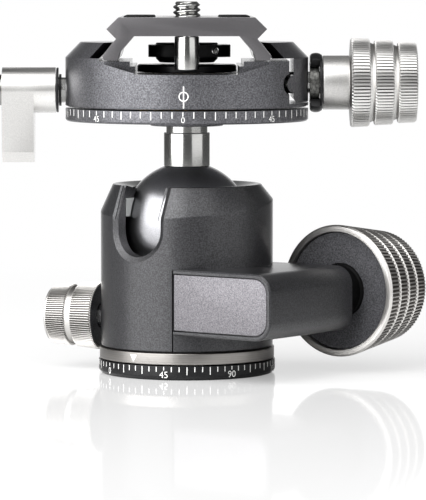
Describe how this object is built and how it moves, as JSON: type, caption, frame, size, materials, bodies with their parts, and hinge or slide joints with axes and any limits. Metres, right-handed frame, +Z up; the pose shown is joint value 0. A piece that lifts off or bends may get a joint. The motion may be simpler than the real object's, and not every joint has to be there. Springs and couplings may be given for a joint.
{
  "type": "ball head",
  "caption": "Ball head: a notched ball housing pans on a tripod base and carries a graduated disc and a panning quick-release clamp with its camera plate.",
  "frame": {"origin": "middle of the footprint, on the ground under the base", "axes": "+Z up the pan axis to the camera, +X towards the clamp's knob, -Y towards the viewer of the picture"},
  "size_m": [0.0996, 0.0644, 0.0862],
  "materials": {
    "dark_anodised": "bead-blasted dark grey anodised",
    "pale_anodised": "pale grey anodised",
    "black_anodised": "black anodised",
    "satin_aluminium": "bright knurled or satin",
    "polished_steel": "polished",
    "ball_finish": "smooth hard anodised",
    "brass": "turned",
    "acetal": "acetal, low friction",
    "black_rubber": "matte"
  },
  "bodies": {
    "base": {"base_ring": "black_anodised", "tripod_bushing": "polished_steel", "pan_ring_nut": "polished_steel", "pan_slip_washer": "brass"},
    "housing": {"housing": "dark_anodised", "index_ring": "satin_aluminium", "bearing_carrier": "satin_aluminium", "arm_end_cover": "pale_anodised", "upper_ball_seat": "acetal", "lock_shaft_bush": "brass"},
    "cup": {"lower_ball_cup": "acetal"},
    "pusher": {"lock_pusher": "polished_steel"},
    "wedge": {"lock_wedge": "polished_steel"},
    "main_knob": {"lock_shaft": "polished_steel", "main_knob_collar": "black_anodised", "main_knob_face": "black_anodised", "main_knob_rim": "satin_aluminium", "main_knob_cap": "black_anodised"},
    "pan_shoe": {"pan_brake_shoe": "acetal"},
    "pan_knob": {"pan_lock_screw": "polished_steel", "pan_lock_knob": "satin_aluminium", "pan_knob_face": "black_anodised"},
    "ball": {"ball": "ball_finish"},
    "stem": {"ball_stem": "polished_steel"},
    "disc": {"graduated_disc": "dark_anodised", "clamp_spindle": "brass", "pivot_bolt": "polished_steel", "centre_cap": "black_anodised", "cap_screw_left": "polished_steel", "cap_screw_right": "polished_steel"},
    "clamp": {"clamp_body": "dark_anodised", "clamp_slip_washer": "brass", "jaw_spring_front": "polished_steel", "jaw_spring_rear": "polished_steel"},
    "jaw": {"moving_jaw": "dark_anodised", "jaw_guide_pin_front": "polished_steel", "jaw_guide_pin_rear": "polished_steel"},
    "clamp_knob": {"clamp_screw": "polished_steel", "knob_sleeve": "satin_aluminium", "knob_yoke": "black_anodised", "knob_collar": "satin_aluminium", "clamp_knob": "satin_aluminium", "clamp_knob_cap": "satin_aluminium"},
    "lever_shoe": {"lever_brake_shoe": "acetal"},
    "lever": {"lever_shaft": "polished_steel", "lever_washer": "black_anodised", "lever_spring_washer": "black_anodised", "lever": "satin_aluminium", "lever_cap": "polished_steel"},
    "plate": {"camera_plate": "dark_anodised", "plate_pad_left": "black_rubber", "plate_pad_right": "black_rubber", "front_stop_pin": "polished_steel", "rear_stop_pin": "polished_steel"},
    "camera_screw": {"camera_screw": "polished_steel", "camera_screw_head": "black_anodised", "finger_ring": "black_anodised", "ring_pin": "polished_steel"}
  },
  "joints": [
    {"name": "base_pan", "type": "hinge", "parent": "base", "child": "housing", "pos_m": [-0.00614, 0.004, 0], "axis": [0, 0, 1], "continuous": true},
    {"name": "ball_side_tilt", "type": "hinge", "parent": "housing", "child": "ball", "pos_m": [-0.00614, 0.004, 0.034], "axis": [0.6, 0.8, 0], "range_deg": [-18, 18]},
    {"name": "ball_tilt", "type": "hinge", "parent": "ball", "child": "stem", "pos_m": [-0.00614, 0.004, 0.034], "axis": [0.8, -0.6, 0], "range_deg": [-20, 87]},
    {"name": "ball_spin", "type": "hinge", "parent": "stem", "child": "disc", "pos_m": [-0.00614, 0.004, 0.034], "axis": [0, 0, 1], "continuous": true},
    {"name": "clamp_pan", "type": "hinge", "parent": "disc", "child": "clamp", "pos_m": [-0.00614, 0.004, 0.06165], "axis": [0, 0, 1], "continuous": true},
    {"name": "lever_shoe_slide", "type": "slide", "parent": "clamp", "child": "lever_shoe", "axis": [-1, 0, 0], "range_m": [0, 0.00026]},
    {"name": "lever_turn", "type": "hinge", "parent": "lever_shoe", "child": "lever", "pos_m": [-0.03654, 0.004, 0.06575], "axis": [-1, 0, 0], "range_deg": [0, 90]},
    {"name": "jaw_slide", "type": "slide", "parent": "clamp", "child": "jaw", "axis": [1, 0, 0], "range_m": [0, 0.0032]},
    {"name": "clamp_knob_turn", "type": "hinge", "parent": "jaw", "child": "clamp_knob", "pos_m": [0.02206, 0.004, 0.06745], "axis": [1, 0, 0], "range_deg": [0, 1080]},
    {"name": "plate_slide", "type": "slide", "parent": "clamp", "child": "plate", "axis": [0, 1, 0], "range_m": [-0.0095, 0.0095]},
    {"name": "camera_screw_turn", "type": "hinge", "parent": "plate", "child": "camera_screw", "pos_m": [-0.00614, 0.004, 0.08275], "axis": [0, 0, 1], "continuous": true},
    {"name": "main_knob_turn", "type": "hinge", "parent": "housing", "child": "main_knob", "pos_m": [0.01754, -0.01376, 0.0191], "axis": [0.6, 0.8, 0], "range_deg": [0, 330]},
    {"name": "wedge_slide", "type": "slide", "parent": "housing", "child": "wedge", "axis": [-0.6, -0.8, 0], "range_m": [0, 0.00115]},
    {"name": "pusher_slide", "type": "slide", "parent": "housing", "child": "pusher", "axis": [0.8, -0.6, 0], "range_m": [0, 0.000144]},
    {"name": "cup_lower", "type": "slide", "parent": "housing", "child": "cup", "axis": [0, 0, -1], "range_m": [0, 0.000144]},
    {"name": "pan_shoe_slide", "type": "slide", "parent": "housing", "child": "pan_shoe", "axis": [-0.9405, 0.3399, 0], "range_m": [0, 0.0024]},
    {"name": "pan_knob_turn", "type": "hinge", "parent": "pan_shoe", "child": "pan_knob", "pos_m": [-0.02622, 0.01126, 0.0125], "axis": [-0.9405, 0.3399, 0], "range_deg": [0, 1080]}
  ],
  "couplings": [
    {"joint": "lever_shoe_slide", "follows": "lever_turn", "m_per_rad": 0.00015915},
    {"joint": "jaw_slide", "follows": "clamp_knob_turn", "m_per_rad": 0.00015915},
    {"joint": "wedge_slide", "follows": "main_knob_turn", "m_per_rad": 0.00019894},
    {"joint": "pusher_slide", "follows": "main_knob_turn", "m_per_rad": 0.00002487},
    {"joint": "cup_lower", "follows": "main_knob_turn", "m_per_rad": 0.00002487},
    {"joint": "pan_shoe_slide", "follows": "pan_knob_turn", "m_per_rad": 0.00012732}
  ]
}
